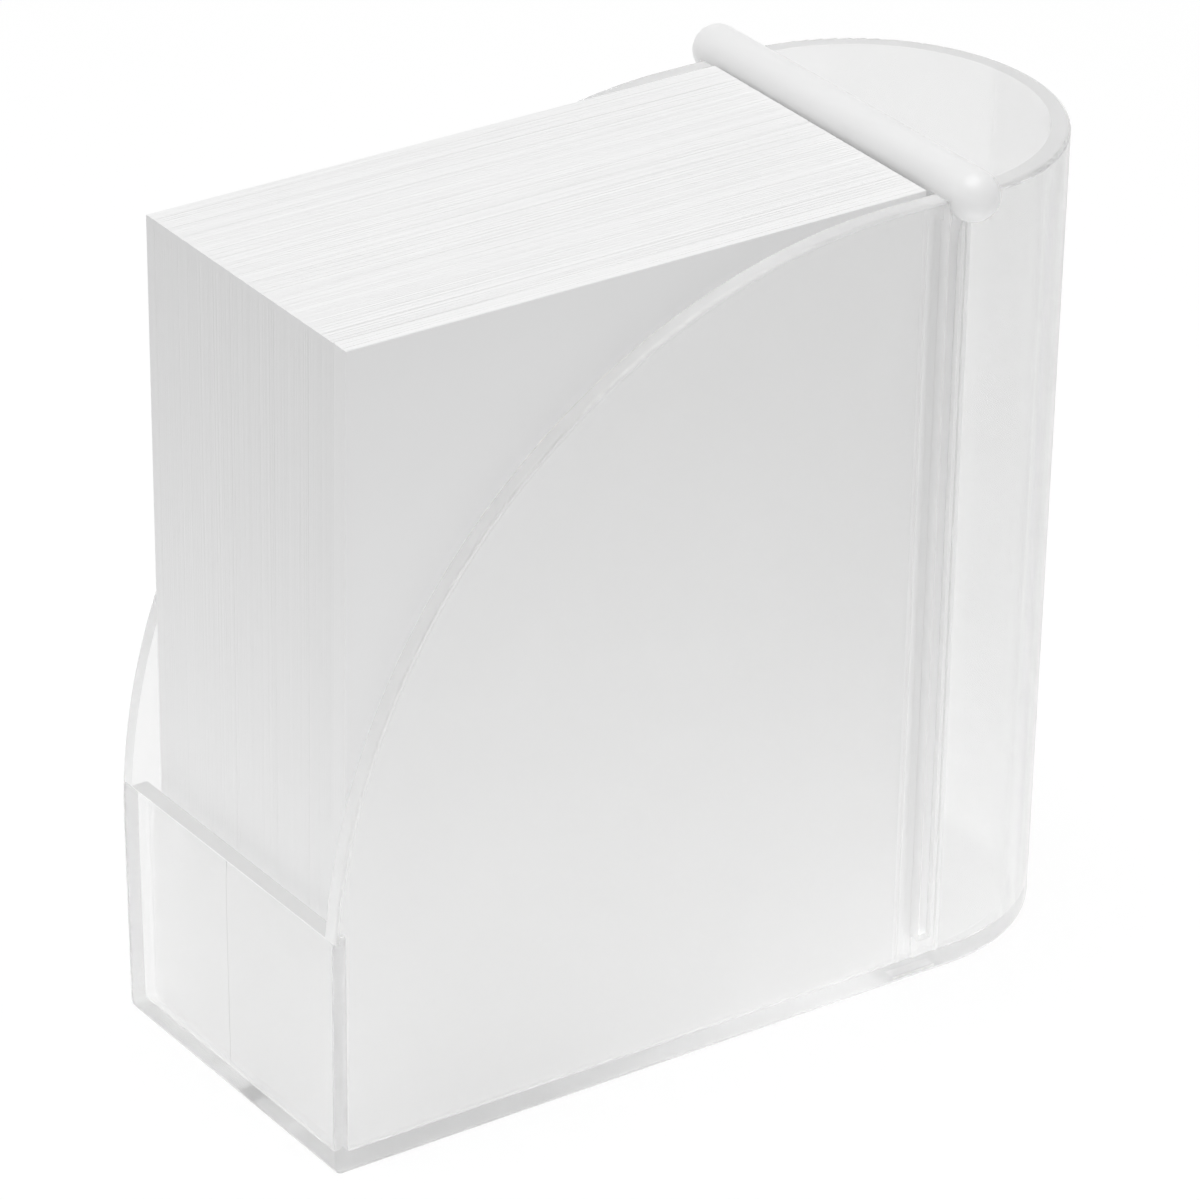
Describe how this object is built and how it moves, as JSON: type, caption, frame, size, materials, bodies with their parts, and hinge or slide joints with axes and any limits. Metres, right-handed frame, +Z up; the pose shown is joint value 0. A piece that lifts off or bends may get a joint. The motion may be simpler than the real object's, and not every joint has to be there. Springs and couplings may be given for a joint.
{
  "type": "memo box",
  "caption": "Frosted desk memo box: an open tub with a swooping rim holds loose note slips on edge, and a lift-out divider with a round bar makes a pen well behind them.",
  "frame": {"origin": "on the resting surface, under the middle of the case's outline", "axes": "+X across the case to its right as seen from the low front wall, +Y from the front wall back to the pen well, +Z up"},
  "size_m": [0.0502, 0.0998, 0.0947],
  "materials": {
    "frosted_plastic": "frosted, translucent and colourless",
    "white_plastic": "satin white moulding",
    "paper": "uncoated white paper"
  },
  "bodies": {
    "case": {"case": "frosted_plastic"},
    "divider": {"divider": "white_plastic"},
    "slips_01": {"slips_01": "paper"},
    "slips_02": {"slips_02": "paper"},
    "slips_03": {"slips_03": "paper"},
    "slips_04": {"slips_04": "paper"},
    "slips_05": {"slips_05": "paper"},
    "slips_06": {"slips_06": "paper"},
    "slips_07": {"slips_07": "paper"},
    "slips_08": {"slips_08": "paper"},
    "slips_09": {"slips_09": "paper"},
    "slips_10": {"slips_10": "paper"},
    "slips_11": {"slips_11": "paper"},
    "slips_12": {"slips_12": "paper"},
    "slips_13": {"slips_13": "paper"},
    "slips_14": {"slips_14": "paper"},
    "slips_15": {"slips_15": "paper"},
    "slips_16": {"slips_16": "paper"},
    "slips_17": {"slips_17": "paper"},
    "slips_18": {"slips_18": "paper"}
  },
  "joints": [
    {"name": "divider_lift", "type": "slide", "parent": "case", "child": "divider", "axis": [0, 0, 1], "range_m": [0, 0.092]},
    {"name": "slips_01_lift", "type": "slide", "parent": "case", "child": "slips_01", "axis": [-0.0126, 0, 0.9999], "range_m": [0, 0.092]},
    {"name": "slips_02_lift", "type": "slide", "parent": "case", "child": "slips_02", "axis": [-0.0111, 0, 0.9999], "range_m": [0, 0.092]},
    {"name": "slips_03_lift", "type": "slide", "parent": "case", "child": "slips_03", "axis": [-0.0096, 0, 1], "range_m": [0, 0.092]},
    {"name": "slips_04_lift", "type": "slide", "parent": "case", "child": "slips_04", "axis": [-0.0081, 0, 1], "range_m": [0, 0.092]},
    {"name": "slips_05_lift", "type": "slide", "parent": "case", "child": "slips_05", "axis": [-0.0067, 0, 1], "range_m": [0, 0.092]},
    {"name": "slips_06_lift", "type": "slide", "parent": "case", "child": "slips_06", "axis": [-0.0052, 0, 1], "range_m": [0, 0.092]},
    {"name": "slips_07_lift", "type": "slide", "parent": "case", "child": "slips_07", "axis": [-0.0037, 0, 1], "range_m": [0, 0.092]},
    {"name": "slips_08_lift", "type": "slide", "parent": "case", "child": "slips_08", "axis": [-0.0022, 0, 1], "range_m": [0, 0.092]},
    {"name": "slips_09_lift", "type": "slide", "parent": "case", "child": "slips_09", "axis": [-0.0007, 0, 1], "range_m": [0, 0.092]},
    {"name": "slips_10_lift", "type": "slide", "parent": "case", "child": "slips_10", "axis": [0.0007, 0, 1], "range_m": [0, 0.092]},
    {"name": "slips_11_lift", "type": "slide", "parent": "case", "child": "slips_11", "axis": [0.0022, 0, 1], "range_m": [0, 0.092]},
    {"name": "slips_12_lift", "type": "slide", "parent": "case", "child": "slips_12", "axis": [0.0037, 0, 1], "range_m": [0, 0.092]},
    {"name": "slips_13_lift", "type": "slide", "parent": "case", "child": "slips_13", "axis": [0.0052, 0, 1], "range_m": [0, 0.092]},
    {"name": "slips_14_lift", "type": "slide", "parent": "case", "child": "slips_14", "axis": [0.0067, 0, 1], "range_m": [0, 0.092]},
    {"name": "slips_15_lift", "type": "slide", "parent": "case", "child": "slips_15", "axis": [0.0081, 0, 1], "range_m": [0, 0.092]},
    {"name": "slips_16_lift", "type": "slide", "parent": "case", "child": "slips_16", "axis": [0.0096, 0, 1], "range_m": [0, 0.092]},
    {"name": "slips_17_lift", "type": "slide", "parent": "case", "child": "slips_17", "axis": [0.0111, 0, 0.9999], "range_m": [0, 0.092]},
    {"name": "slips_18_lift", "type": "slide", "parent": "case", "child": "slips_18", "axis": [0.0126, 0, 0.9999], "range_m": [0, 0.092]}
  ]
}
